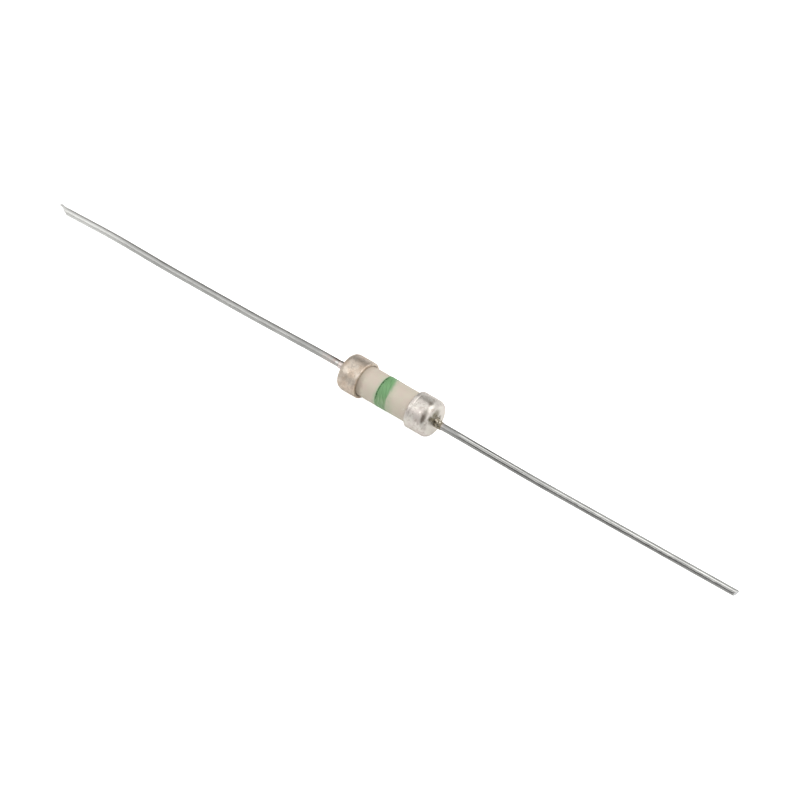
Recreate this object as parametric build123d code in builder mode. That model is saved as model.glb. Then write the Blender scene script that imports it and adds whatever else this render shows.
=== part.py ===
from build123d import *

import os
from math import radians, tan

# Ceramic cartridge fuse with axial leads, in millimetres.
# The fuse's axis is X and its origin is the middle of the body, on the axis.
# The leads bow a little, all in one plane through the axis: the bow plane.
# Along each lead, a positive offset is to the bow plane's own Y side.

# ---- driving sizes ----
body_length = 10.15          # over the closed ends of both caps

tube_diameter = 3.0
bore_diameter = 1.8
tube_end_chamfer = 0.08

cap_length = 2.4
cap_wall = 0.26
cap_clearance = 0.05         # between a cap's inside and the tube, all round
cap_corner_radius = 0.6      # outside, at the closed end
cap_rim_bevel = 0.15         # outside, at the open end

lead_diameter = 0.69
lead_hole_clearance = 0.03   # between a lead and the hole in its cap, all round
lead_length = 33.25          # from the cap's closed end to the tip
root_run = 1.9               # from the solder cone's top to the lead's first bend
left_lead_offset = -0.125    # how far the lead's root stands off the axis
right_lead_offset = 0.145
bow_plane_turn = 215.0       # degrees about X, from the XY plane to the bow plane

burr_length = 0.36           # thin lip that the cutter leaves on the left tip
burr_thickness = 0.2
shear_angle = 53.5           # degrees, of the left tip's sheared face
cut_angle = 20.0             # degrees, of the right tip's cut face
cut_edge_bevel = 0.05

fillet_base_diameter = 1.2   # solder cone on the cap's closed end
fillet_height = 0.85
fillet_edge = 0.03           # solder's thickness where it runs out on the lead
fillet_side_radius = 1.0     # of the cone's hollow side

element_diameter = 0.12
element_clearance = 0.06     # between the element and the bore's wall
solder_cover = 0.04          # solder between the element and what it lies against
head_gap = 0.05              # between a lead's head and the element
meniscus_height = 0.32       # solder's climb up the bore's wall
meniscus_depth = 0.18        # how far its middle lies below its edge

band_thickness = 0.02        # of the paint film
band_start = -0.78
band_end = 0.42

# ---- worked out from them ----
tube_radius = tube_diameter / 2
bore_radius = bore_diameter / 2
cap_inner_radius = tube_radius + cap_clearance
cap_radius = cap_inner_radius + cap_wall
solder_radius = cap_radius - cap_corner_radius  # as far as the cap's floor is flat
end_x = body_length / 2
floor_x = end_x - cap_wall
solder_layer = element_diameter + 2 * solder_cover
tube_end_x = floor_x - solder_layer
lead_radius = lead_diameter / 2
tip_x = end_x + lead_length
element_z = bore_radius - element_clearance - element_diameter / 2
head_play = max(abs(left_lead_offset), abs(right_lead_offset))
meniscus_radius = (bore_radius**2 + meniscus_depth**2) / (2 * meniscus_depth)
head_radius = element_z - element_diameter / 2 - head_gap - head_play

bow_plane = Plane.XY.rotated((bow_plane_turn, 0, 0))

os.makedirs("parts", exist_ok=True)


def save(solid, name):
    solid.label = name
    export_step(solid, f"parts/{name}.step")


# ---- ceramic tube: plain, with a through bore ----
with BuildPart() as ceramic_tube:
    with BuildSketch(Plane.YZ.offset(-tube_end_x)):
        Circle(tube_radius)
        Circle(bore_radius, mode=Mode.SUBTRACT)
    extrude(amount=2 * tube_end_x)
    tube_rims = ceramic_tube.edges().filter_by(GeomType.CIRCLE)
    chamfer(tube_rims.group_by(SortBy.RADIUS)[-1], length=tube_end_chamfer)
save(ceramic_tube.part, "ceramic_tube")

# ---- green band: a film of paint round the tube ----
with BuildPart() as green_band:
    with BuildSketch(Plane.YZ.offset(band_start)):
        Circle(tube_radius + band_thickness)
        Circle(tube_radius, mode=Mode.SUBTRACT)
    extrude(amount=band_end - band_start)
save(green_band.part, "green_band")

# ---- leads: wire swept along straight runs and the gentle arcs between them ----
# A route's points are (distance along X, offset in the bow plane). The first lies on the
# cap's floor, under the head, and the last is the tip.
root_bend_x = end_x + fillet_height + root_run


def station(share):
    """Distance along X of a point at this share of the lead's length."""
    return end_x + share * lead_length


left_route = [
    (-floor_x, left_lead_offset),
    (-root_bend_x, left_lead_offset),
    (-station(0.33), 0.07),
    (-station(0.61), 0.16),
    (-station(0.81), 0.10),
    (-tip_x, 0.29),
]
left_bend_radii = [120, 260, 200, 80]
right_route = [
    (floor_x, right_lead_offset),
    (root_bend_x, right_lead_offset),
    (station(0.33), 0.195),
    (tip_x, -0.07),
]
right_bend_radii = [260, 320]


def end_plane(end_point, heading):
    """Plane at a wire's end: X along the wire and outwards, Z square to the bow plane."""
    return Plane(origin=end_point, x_dir=heading, z_dir=bow_plane.z_dir)


with BuildPart() as left_lead:
    with BuildLine(bow_plane):
        left_path = FilletPolyline(*left_route, radius=left_bend_radii)
    with BuildSketch(Plane(origin=left_path @ 0, z_dir=left_path % 0)):
        Circle(lead_radius)
    sweep(path=left_path)
    with BuildSketch(Plane(origin=left_path @ 0, z_dir=left_path % 0)):
        Circle(head_radius)
    extrude(amount=-solder_layer)
    # The cutter leaves a slanted face, with the lip standing out past it.
    lip_under = lead_radius - burr_thickness
    shear_run = (lead_radius + lip_under) * tan(radians(shear_angle))
    with BuildSketch(end_plane(left_path @ 1, left_path % 1)):
        with BuildLine():
            Polyline(
                (burr_length, lip_under),
                (-burr_length, lip_under),
                (-burr_length - shear_run, -lead_radius),
                (-burr_length - shear_run, -lead_diameter),
                (burr_length, -lead_diameter),
                close=True,
            )
        make_face()
    extrude(amount=lead_diameter, both=True, mode=Mode.SUBTRACT)
save(left_lead.part, "left_lead")

with BuildPart() as right_lead:
    with BuildLine(bow_plane):
        right_path = FilletPolyline(*right_route, radius=right_bend_radii)
    with BuildSketch(Plane(origin=right_path @ 0, z_dir=right_path % 0)):
        Circle(lead_radius)
    sweep(path=right_path)
    with BuildSketch(Plane(origin=right_path @ 0, z_dir=right_path % 0)):
        Circle(head_radius)
    extrude(amount=-solder_layer)
    # The cut face leans, with its long side opposite the bow plane's Y side.
    cut_run = lead_diameter * tan(radians(cut_angle))
    with BuildSketch(end_plane(right_path @ 1, right_path % 1)):
        with BuildLine():
            Polyline(
                (0, -lead_radius),
                (-cut_run, lead_radius),
                (-cut_run, lead_diameter),
                (cut_run, lead_diameter),
                (cut_run, -lead_radius),
                close=True,
            )
        make_face()
    extrude(amount=lead_diameter, both=True, mode=Mode.SUBTRACT)
    cut_face = right_lead.faces().sort_by(Axis.X)[-1]
    chamfer(cut_face.edges(), length=cut_edge_bevel)
save(right_lead.part, "right_lead")

# ---- fuse element: slantwise through the bore, creased over the tube's ends ----
element_end_z = solder_radius - solder_cover
element_end_x = tube_end_x + solder_layer / 2
with BuildPart() as fuse_element:
    with BuildLine(Plane.XZ):
        element_path = Polyline(
            (-element_end_x, -element_end_z),
            (-element_end_x, -element_z),
            (element_end_x, element_z),
            (element_end_x, element_end_z),
        )
    with BuildSketch(Plane(origin=element_path @ 0, z_dir=element_path % 0)):
        Circle(element_diameter / 2)
    sweep(path=element_path, transition=Transition.RIGHT)
save(fuse_element.part, "fuse_element")

# ---- caps and solder, one set at each end ----
# Each set is drawn looking outwards: a sketch's X is the way out of that end.
for side, way, root_offset, lead in (
    ("left", -1, left_lead_offset, left_lead),
    ("right", 1, right_lead_offset, right_lead),
):
    outward = Axis(origin=(0, 0, 0), direction=(way, 0, 0))
    root = bow_plane.from_local_coords((way * end_x, root_offset, 0))
    lead_axis = Axis(origin=root, direction=outward.direction)

    # Cup drawn from sheet: a round-cornered slug hollowed from its open end.
    with BuildPart() as end_cap:
        with BuildSketch(Plane(origin=(way * end_x, 0, 0), z_dir=outward.direction)):
            Circle(cap_radius)
        extrude(amount=-cap_length)
        fillet(end_cap.faces().sort_by(outward)[-1].edges(), radius=cap_corner_radius)
        offset(amount=-cap_wall, openings=end_cap.faces().sort_by(outward)[0])
        rim_edges = end_cap.edges().filter_by(GeomType.CIRCLE).group_by(outward)[0]
        chamfer(rim_edges.sort_by(SortBy.RADIUS)[-1], length=cap_rim_bevel)
        with BuildSketch(Plane(origin=root, z_dir=outward.direction)):
            Circle(lead_radius + lead_hole_clearance)
        extrude(amount=-cap_wall, mode=Mode.SUBTRACT)
    save(end_cap.part, f"{side}_end_cap")

    # Solder cone on the closed end, hollow-sided, close round the lead.
    with BuildPart() as solder_fillet:
        with BuildSketch(Plane(origin=root, x_dir=outward.direction, z_dir=(0, 0, way))):
            with BuildLine():
                foot = (0, fillet_base_diameter / 2)
                lip = (fillet_height, lead_radius + fillet_edge)
                Line((0, lead_radius), foot)
                RadiusArc(foot, lip, -fillet_side_radius)
                Line(lip, (fillet_height, lead_radius))
                Line((fillet_height, lead_radius), (0, lead_radius))
            make_face()
        revolve(axis=lead_axis)
    save(solder_fillet.part, f"{side}_solder_fillet")

    # Solder on the cap's floor: it fills the layer under the tube's end, climbs the
    # bore's wall, and is moulded round the lead's head and the element's end.
    with BuildPart() as inner_solder:
        with BuildSketch(Plane(origin=(way * floor_x, 0, 0), z_dir=outward.direction)):
            Circle(solder_radius)
        extrude(amount=-solder_layer)
        with BuildSketch(Plane(origin=(0, 0, 0), x_dir=outward.direction, z_dir=(0, 0, way))):
            with BuildLine():
                edge = (tube_end_x - meniscus_height, bore_radius)
                dip = (edge[0] + meniscus_depth, 0)
                Line((tube_end_x, 0), (tube_end_x, bore_radius))
                Line((tube_end_x, bore_radius), edge)
                RadiusArc(edge, dip, meniscus_radius)
                Line(dip, (tube_end_x, 0))
            make_face()
        revolve(axis=Axis.X)
        add(lead.part, mode=Mode.SUBTRACT)
        add(fuse_element.part, mode=Mode.SUBTRACT)
    save(inner_solder.part, f"{side}_inner_solder")
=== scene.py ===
from math import atan2, cos, pi, radians, sin, tan

import bmesh
import bpy
from bpy.props import FloatProperty, FloatVectorProperty, IntProperty, PointerProperty
from bpy.types import Operator, Panel, PropertyGroup
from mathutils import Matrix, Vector


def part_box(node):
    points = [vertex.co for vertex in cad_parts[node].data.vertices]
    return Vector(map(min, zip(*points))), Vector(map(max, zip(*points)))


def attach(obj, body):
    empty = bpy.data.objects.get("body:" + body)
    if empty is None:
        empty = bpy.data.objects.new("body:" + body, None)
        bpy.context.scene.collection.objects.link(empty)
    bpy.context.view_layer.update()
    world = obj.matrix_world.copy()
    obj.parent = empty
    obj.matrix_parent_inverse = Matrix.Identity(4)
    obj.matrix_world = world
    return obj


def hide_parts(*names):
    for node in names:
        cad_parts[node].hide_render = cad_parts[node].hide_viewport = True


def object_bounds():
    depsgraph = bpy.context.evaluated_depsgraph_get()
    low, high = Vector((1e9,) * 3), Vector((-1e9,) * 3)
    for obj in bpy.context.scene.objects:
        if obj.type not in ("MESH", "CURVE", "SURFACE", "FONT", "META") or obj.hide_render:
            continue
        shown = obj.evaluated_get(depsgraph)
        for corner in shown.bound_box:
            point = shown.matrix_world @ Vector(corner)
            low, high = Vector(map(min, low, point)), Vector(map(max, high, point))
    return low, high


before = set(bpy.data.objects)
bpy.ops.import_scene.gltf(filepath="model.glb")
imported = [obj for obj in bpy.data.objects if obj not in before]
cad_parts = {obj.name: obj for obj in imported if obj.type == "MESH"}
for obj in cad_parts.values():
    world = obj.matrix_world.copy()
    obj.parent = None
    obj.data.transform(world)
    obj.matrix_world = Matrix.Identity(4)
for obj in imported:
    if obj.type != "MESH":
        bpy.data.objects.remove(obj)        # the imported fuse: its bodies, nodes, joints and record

bl_info = {
    "name": "Ceramic cartridge fuse",
    "version": (1, 0, 0),
    "blender": (4, 5, 0),
    "location": "View3D > Sidebar > Fuse",
    "description": "Finished pieces, stage and camera for a ceramic fuse with wire leads",
    "category": "Object",
}

CAD_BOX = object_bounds()
BODY = "root"
MM = 0.001
FULL_TURN = 2 * pi
WHITE = (1.0, 1.0, 1.0, 1.0)
SAME_PLACE = 0.0001 * MM    # points of a grid that are nearer than this are merged
WELD = 0.0002 * MM          # and so are points of a finished mesh
TIP_MARGIN = 0.02 * MM      # from a wire's tip to the end of its node


# ---------------------------------------------------------------- node helpers

def feed(tree, socket, value):
    """Links a node's input to another socket, or sets its value."""
    if isinstance(value, Field):
        value = value.socket
    if isinstance(value, bpy.types.NodeSocket):
        tree.links.new(value, socket)
    else:
        socket.default_value = value


def add(tree, kind, feeds=None, **settings):
    """Adds a node, with feeds for its inputs by name or number."""
    node = tree.nodes.new(kind)
    for name, value in settings.items():
        setattr(node, name, value)
    for key, value in (feeds or {}).items():
        feed(tree, node.inputs[key], value)
    return node


def maths(operation, swapped=False):
    """A method that does this operation on a field and on what the method is given."""
    def method(self, *others):
        values = (self, *others)
        return self.calc(operation, *(reversed(values) if swapped else values))
    return method


class Field:
    """A value in a node tree that takes part in sums as a plain number does."""

    def __init__(self, tree, socket):
        self.tree = tree
        self.socket = socket

    def calc(self, operation, *values):
        node = add(self.tree, "ShaderNodeMath", dict(enumerate(values)), operation=operation)
        return Field(self.tree, node.outputs[0])

    __add__ = __radd__ = maths("ADD")
    __sub__ = maths("SUBTRACT")
    __rsub__ = maths("SUBTRACT", swapped=True)
    __mul__ = __rmul__ = maths("MULTIPLY")
    __truediv__ = maths("DIVIDE")
    __rtruediv__ = maths("DIVIDE", swapped=True)
    __gt__ = maths("GREATER_THAN")
    __lt__ = maths("LESS_THAN")
    sine = maths("SINE")
    cosine = maths("COSINE")
    least = maths("MINIMUM")
    most = maths("MAXIMUM")

    def held(self):
        """Kept between 0 and 1."""
        return self.most(0.0).least(1.0)

    def fade(self, start, end, smooth=True):
        """0 at start and before, 1 at end and past it."""
        node = add(self.tree, "ShaderNodeMapRange", {0: self, 1: start, 2: end},
                   interpolation_type="SMOOTHSTEP" if smooth else "LINEAR")
        return Field(self.tree, node.outputs[0])

    def between(self, start, full, falling, end):
        """1 from full to falling, and 0 before start and past end."""
        return self.fade(start, full) * (1.0 - self.fade(falling, end))


def parts_of(tree, vector):
    """The X, Y and Z of a vector."""
    node = add(tree, "ShaderNodeSeparateXYZ", {0: vector})
    return [Field(tree, output) for output in node.outputs]


def joined(tree, x, y, z):
    return add(tree, "ShaderNodeCombineXYZ", {0: x, 1: y, 2: z}).outputs[0]


def vectors(tree, operation, first, second):
    """Vector maths on two vectors; SCALE takes a number as its second."""
    second_input = 3 if operation == "SCALE" else 1
    node = add(tree, "ShaderNodeVectorMath", {0: first, second_input: second}, operation=operation)
    return node.outputs["Value" if operation == "DISTANCE" else "Vector"]


def noise(tree, place, detail, seed=None, rough=0.5):
    """Noise from 0 to 1 with waves about one unit long; a seed picks one of many patterns."""
    feeds = {"Vector": place, "Scale": 1.0, "Detail": detail, "Roughness": rough}
    if seed is not None:
        feeds["W"] = seed
    node = add(tree, "ShaderNodeTexNoise", feeds, noise_dimensions="3D" if seed is None else "4D")
    return Field(tree, node.outputs[0])


# ---------------------------------------------------------------- geometry trees

def new_tree(name, inputs):
    """Geometry tree with these named inputs and defaults; gives the tree and its input sockets."""
    kinds = {int: "NodeSocketInt", float: "NodeSocketFloat", tuple: "NodeSocketVector"}
    tree = bpy.data.node_groups.new(name, "GeometryNodeTree")
    for way in ("INPUT", "OUTPUT"):
        tree.interface.new_socket("Geometry", in_out=way, socket_type="NodeSocketGeometry")
    for label, value in inputs.items():
        socket = tree.interface.new_socket(label, in_out="INPUT", socket_type=kinds[type(value)])
        socket.default_value = value
    tree.interface.new_socket("Material", in_out="INPUT", socket_type="NodeSocketMaterial")
    source = add(tree, "NodeGroupInput").outputs
    values = {label: Field(tree, source[label]) for label in inputs}
    values["Geometry"] = source["Geometry"]
    values["Material"] = source["Material"]
    return tree, values


def end_tree(tree, geometry, material):
    """Ends a tree in Realize Instances and Set Material."""
    real = add(tree, "GeometryNodeRealizeInstances", {"Geometry": geometry})
    dressed = add(tree, "GeometryNodeSetMaterial",
                  {"Geometry": real.outputs[0], "Material": material})
    add(tree, "NodeGroupOutput", {0: dressed.outputs[0]})


def unit_grid(tree, rows, columns):
    """A grid of points, with each point's share of the way along the rows and the columns."""
    grid = add(tree, "GeometryNodeMeshGrid",
               {"Size X": 1.0, "Size Y": 1.0, "Vertices X": rows, "Vertices Y": columns})
    x, y, _ = parts_of(tree, add(tree, "GeometryNodeInputPosition").outputs[0])
    return grid.outputs["Mesh"], x + 0.5, y + 0.5


def moved_grid(tree, mesh, position):
    """A grid whose points are moved to this position, with those that meet merged."""
    moved = add(tree, "GeometryNodeSetPosition", {"Geometry": mesh, "Position": position})
    return add(tree, "GeometryNodeMergeByDistance",
               {"Geometry": moved.outputs[0], "Distance": SAME_PLACE}).outputs[0]


def waves(tree, place, size, seed, stretch):
    """Smooth noise from 0 to 1 with waves of this size, longer along X by the stretch."""
    x, y, z = parts_of(tree, place)
    return noise(tree, joined(tree, x / (size * stretch), y / size, z / size), 2.0, seed)


def dents(tree, place, size, spacing, seed):
    """Scattered round hollows from 0 to 1, of this size and about this far apart."""
    fitted = vectors(tree, "SCALE", place, 1.0 / spacing)
    node = add(tree, "ShaderNodeTexVoronoi", {"Vector": fitted, "W": seed, "Scale": 1.0},
               voronoi_dimensions="4D")
    return 1.0 - Field(tree, node.outputs["Distance"]).fade(0.0, size / spacing)


def wear(tree, size, place, hollows, stretch=1.0):
    """How far waves and hollows of this kind, "Dent" or "Nick", sink the surface at a place."""
    waved = size["Wave depth"] * waves(tree, place, size["Wave size"], size["Seed"], stretch)
    return waved + size[f"{hollows} depth"] * dents(
        tree, place, size[f"{hollows} size"], size[f"{hollows} spacing"], size["Seed"] + 3.0)


def turned_shell_tree():
    """Turns a closed outline in the X-Y plane round the X axis, then gives it waves and dents."""
    tree, size = new_tree("turned_shell", {
        "Segments": 128, "Wave depth": 0.0, "Wave size": 1.0 * MM, "Dent depth": 0.0,
        "Dent size": 0.3 * MM, "Dent spacing": 1.0 * MM, "Centre Y": 0.0, "Centre Z": 0.0,
        "Centre reach": 100.0, "Edge wander": 0.0, "Core radius": 0.0, "Skirt wander": 0.0,
        "Skirt lean": 0.0, "Lean turn": 0.0, "Rim skew": 0.0,
        "Skew turn": 0.0, "Skew start": 0.0, "Skew end": 1.0, "Seed": 1.0})
    outline = size["Geometry"]
    domain = add(tree, "GeometryNodeAttributeDomainSize", {0: outline})
    count = Field(tree, domain.outputs["Point Count"])
    mesh, along, round_axis = unit_grid(tree, count + 1.0, size["Segments"] + 1.0)
    number = along.calc("ROUND", along * count)
    number = number.calc("MODULO", number, count)
    place = add(tree, "GeometryNodeInputPosition").outputs[0]
    point = add(tree, "GeometryNodeSampleIndex", {0: outline, 1: place, 2: number},
                data_type="FLOAT_VECTOR", domain="POINT").outputs[0]
    x, radius, _ = parts_of(tree, point)
    angle = round_axis * FULL_TURN
    # The wobble's noise is read on a ring, so it closes, and it changes quickly along X.
    ring_radius, waves_along = 2.0, 4 / MM
    ring = joined(tree, x * waves_along, angle.cosine() * ring_radius, angle.sine() * ring_radius)
    wobble = noise(tree, ring, 4.0, size["Seed"] + 5.0) - 0.5
    # What stands out past the core wanders, and is thinner on the side away from its lean.
    lean = size["Skirt lean"] * (0.5 - (angle - size["Lean turn"]).cosine() * 0.5)
    radius = size["Core radius"] + ((radius - size["Core radius"])
                                    * (1.0 + wobble * size["Skirt wander"]) * (1.0 - lean))
    # The middle of the turned rings moves aside where their radius is small.
    aside = 1.0 - (radius / size["Centre reach"]).fade(0.4, 1.0)
    skew = (size["Rim skew"] * x.fade(size["Skew start"], size["Skew end"], smooth=False)
            * ((angle - size["Skew turn"]).cosine() * 0.5 + 0.5))
    turned = joined(tree, x + skew + wobble * size["Edge wander"],
                    radius * angle.cosine() + size["Centre Y"] * aside,
                    radius * angle.sine() + size["Centre Z"] * aside)
    formed = moved_grid(tree, mesh, turned)
    normal = add(tree, "GeometryNodeInputNormal").outputs[0]
    inward = vectors(tree, "SCALE", normal, wear(tree, size, place, "Dent") * -1.0)
    worn = add(tree, "GeometryNodeSetPosition", {"Geometry": formed, "Offset": inward}).outputs[0]
    end_tree(tree, worn, size["Material"])


def drawn_wire_tree():
    """Draws a round wire along a line of edges, headed at its start and cut slantwise at its tip."""
    tree, size = new_tree("drawn_wire", {
        "Rows": 180, "Segments": 40, "Radius": 0.3 * MM, "Head radius": 0.5 * MM,
        "Head length": 0.2 * MM, "Edge round": 0.03 * MM, "Long side": (0.0, 0.8, 0.6),
        "Lip height": 0.3 * MM, "Lip length": 0.0, "Lip lift": 0.0, "Cut slope": 0.0,
        "Wave depth": 0.0, "Wave size": 0.3 * MM, "Nick depth": 0.0, "Nick size": 0.3 * MM,
        "Nick spacing": 3.0 * MM, "Seed": 1.0})
    line = add(tree, "GeometryNodeMeshToCurve", {0: size["Geometry"]}).outputs[0]
    length = Field(tree, add(tree, "GeometryNodeCurveLength", {0: line}).outputs[0])
    mesh, along, round_wire = unit_grid(tree, size["Rows"] + 1.0, size["Segments"] + 1.0)
    row = along * size["Rows"]
    angle = round_wire * FULL_TURN
    height = angle.cosine() * size["Radius"]
    # How far the cut lies back from the tip at this height across the wire.
    under_lip = height < size["Lip height"]
    back = under_lip * (size["Lip length"] + (size["Lip height"] - height) * size["Cut slope"])
    full = length - back - size["Edge round"]
    # The first rows make the head, the last the rounded edge at the tip, the others the shank.
    head_rows, tip_rows = 2.0, 3.0
    past_head = ((row - head_rows) / (size["Rows"] - (head_rows + tip_rows))).held()
    turn = ((row - size["Rows"] + tip_rows) / tip_rows).held() * (pi / 2)
    head = size["Head length"] * row.least(1.0)
    station = head + (full - size["Head length"]) * past_head + size["Edge round"] * turn.sine()
    thick = size["Radius"] - size["Edge round"] * (1.0 - turn.cosine())
    radius = thick + (size["Head radius"] - size["Radius"]) * (row < head_rows - 0.5)
    sample = add(tree, "GeometryNodeSampleCurve", {"Curves": line, "Length": station},
                 mode="LENGTH", data_type="FLOAT", use_all_curves=True)
    centre, tangent = sample.outputs["Position"], sample.outputs["Tangent"]
    sideways = vectors(tree, "CROSS_PRODUCT", tangent, size["Long side"])
    across = vectors(tree, "NORMALIZE", sideways, (0.0, 0.0, 0.0))
    upright = vectors(tree, "CROSS_PRODUCT", across, tangent)
    spoke = vectors(tree, "ADD", vectors(tree, "SCALE", upright, angle.cosine()),
                    vectors(tree, "SCALE", across, angle.sine()))
    smooth = vectors(tree, "ADD", centre, vectors(tree, "SCALE", spoke, radius))
    lift = (size["Lip lift"] * (1.0 - under_lip)
            * station.fade(length - size["Lip length"] * 1.8, length))
    sunk = vectors(tree, "SCALE", spoke, wear(tree, size, smooth, "Nick", stretch=4.0) * -1.0)
    place = vectors(tree, "ADD", smooth, sunk)
    place = vectors(tree, "ADD", place, vectors(tree, "SCALE", upright, lift))
    end_tree(tree, moved_grid(tree, mesh, place), size["Material"])


def crumbs_tree():
    """Scatters small lumps over a surface and keeps the surface with them."""
    tree, size = new_tree("crumbs", {"Density": 50.0, "Crumb size": 0.05 * MM, "Seed": 1})
    points = add(tree, "GeometryNodeDistributePointsOnFaces",
                 {"Mesh": size["Geometry"], "Density": size["Density"], "Seed": size["Seed"]})
    crumb = add(tree, "GeometryNodeMeshIcoSphere",
                {"Radius": size["Crumb size"], "Subdivisions": 2})
    spread = add(tree, "FunctionNodeRandomValue", {"Min": 0.4, "Max": 1.0, "Seed": size["Seed"]},
                 data_type="FLOAT")
    lumps = add(tree, "GeometryNodeInstanceOnPoints",
                {"Points": points.outputs["Points"], "Instance": crumb.outputs["Mesh"],
                 "Rotation": points.outputs["Rotation"], "Scale": spread.outputs["Value"]})
    both = add(tree, "GeometryNodeJoinGeometry", {0: size["Geometry"]})
    tree.links.new(lumps.outputs[0], both.inputs[0])
    end_tree(tree, both.outputs[0], size["Material"])


def grow(name, tree_name, source, material, sizes):
    """Runs a geometry tree on a mesh and gives the result as a plain piece."""
    tree = bpy.data.node_groups[tree_name]
    piece = bpy.data.objects.new(name, source)
    bpy.context.scene.collection.objects.link(piece)
    modifier = piece.modifiers.new("making", "NODES")
    modifier.node_group = tree
    sockets = {item.name: item.identifier for item in tree.interface.items_tree
               if item.item_type == "SOCKET" and item.in_out == "INPUT"}
    modifier[sockets["Material"]] = material
    for label, value in sizes.items():
        modifier[sockets[label]] = value
    graph = bpy.context.evaluated_depsgraph_get()
    made = bpy.data.meshes.new_from_object(piece.evaluated_get(graph), depsgraph=graph)
    piece.modifiers.clear()
    piece.data = made
    made.name = name
    if not made.polygons:
        raise RuntimeError(f"{name} came out empty")
    return piece


def outline_mesh(name, points, closed=True):
    """A line of edges through (along X, from the axis) points, or through 3-D points."""
    corners = [(*point, 0.0) if len(point) == 2 else tuple(point) for point in points]
    turning = sum(a[0] * b[1] - b[0] * a[1] for a, b in zip(corners, corners[1:] + corners[:1]))
    if closed and turning < 0:
        corners.reverse()
    edges = [(n, n + 1) for n in range(len(corners) - 1)]
    if closed:
        edges.append((len(corners) - 1, 0))
    mesh = bpy.data.meshes.new(name)
    mesh.from_pydata(corners, edges, [])
    return mesh


def merged_mesh(piece):
    """A piece's mesh opened for work, with what coincides merged."""
    work = bmesh.new()
    work.from_mesh(piece.data)
    bmesh.ops.remove_doubles(work, verts=work.verts, dist=WELD)
    return work


def put_back(work, piece):
    work.to_mesh(piece.data)
    work.free()


def finish_mesh(piece, sharp=40.0):
    """Merges what coincides, turns the faces outwards and shades the piece smooth."""
    work = merged_mesh(piece)
    bmesh.ops.recalc_face_normals(work, faces=work.faces)
    put_back(work, piece)
    piece.data.shade_smooth()
    piece.data.set_sharp_from_angle(angle=radians(sharp))


def turn_piece(name, outline, material, sizes):
    """Turns a piece from its outline and finishes its mesh."""
    piece = grow(name, "turned_shell", outline_mesh(f"{name}_outline", outline), material, sizes)
    finish_mesh(piece)
    return piece


def hand_over(piece, node):
    """Lets a finished piece stand for its node, and ride with the body."""
    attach(piece, BODY)
    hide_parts(node)


# ---------------------------------------------------------------- outlines and lines

def straight(start, end, steps):
    """Points from start to end, without the end."""
    return [tuple(a + (b - a) * n / steps for a, b in zip(start, end)) for n in range(steps)]


def corner(centre, radius, first, last, steps):
    """Points on an arc, without its end; the angles are in degrees from X."""
    turns = [radians(first + (last - first) * n / steps) for n in range(steps)]
    return [(centre[0] + radius * cos(turn), centre[1] + radius * sin(turn)) for turn in turns]


def outline_of(start, *legs):
    """Points of a closed outline from its start, without the start's second visit.

    A leg is straight, (end, steps), or an arc, (centre, radius, first, last, steps).
    """
    points = []
    for leg in legs:
        if len(leg) == 2:
            end, steps = leg
            points += straight(start, end, steps)
        else:
            centre, radius, _, last, _ = leg
            end = corner(centre, radius, last, last, 1)[0]
            points += corner(*leg)
        start = end
    return points


def centre_line(node, way, cut_length, step=0.5 * MM):
    """Middle of a lead's section at stations from its head to its tip, read off its node."""
    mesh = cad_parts[node].data
    low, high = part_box(node)
    head, tip = (low.x, high.x) if way > 0 else (high.x, low.x)
    # The line stops short of the tip, so that a wavy wire stays within its node's box.
    tip -= way * TIP_MARGIN
    whole = abs(tip - head) - cut_length
    count = int(whole / step)
    stations = [head + way * whole * (n + 0.5) / count for n in range(count)]
    line = []
    for station in stations:
        ys, zs = [], []
        for edge in mesh.edges:
            a, b = (mesh.vertices[v].co for v in edge.vertices)
            if (a.x - station) * (b.x - station) < 0:
                cut = a.lerp(b, (station - a.x) / (b.x - a.x))
                ys.append(cut.y)
                zs.append(cut.z)
        line.append(Vector((station, (min(ys) + max(ys)) / 2, (min(zs) + max(zs)) / 2)))
    # The head hides the first station, and the cut end is straight on from the last ones.
    first = Vector((head, line[1].y, line[1].z))
    run = line[-1] - line[-4]
    last = line[-1] + run * ((tip - line[-1].x) / run.x)
    return [first] + line[1:] + [last]


def cap_size():
    """Outer radius, rim distance and end distance of the two caps."""
    low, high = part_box("right_end_cap")
    return high.z, low.x, high.x


# ---------------------------------------------------------------- shader helpers

def new_material(name):
    """Empty node material; gives the material and its tree."""
    material = bpy.data.materials.new(name)
    material.use_nodes = True
    material.node_tree.nodes.clear()
    return material, material.node_tree


def object_place(tree):
    return add(tree, "ShaderNodeTexCoord").outputs["Object"]


def along_fuse(tree):
    """Distance along the fuse from its middle."""
    return parts_of(tree, object_place(tree))[0]


def camera_ray(tree):
    """1 where the camera sees the surface itself, and 0 for the light that it gives."""
    return Field(tree, add(tree, "ShaderNodeLightPath").outputs["Is Camera Ray"])


def mottle(tree, size, stretch=(1.0, 1.0, 1.0), shift=0.0, detail=3.0, rough=0.5):
    """Noise from 0 to 1 with blotches of this size in millimetres."""
    scale = tuple(1.0 / (size * MM * part) for part in stretch)
    fitted = add(tree, "ShaderNodeMapping",
                 {"Vector": object_place(tree), "Location": (shift, shift, shift), "Scale": scale})
    return noise(tree, fitted.outputs[0], detail, rough=rough)


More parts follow.
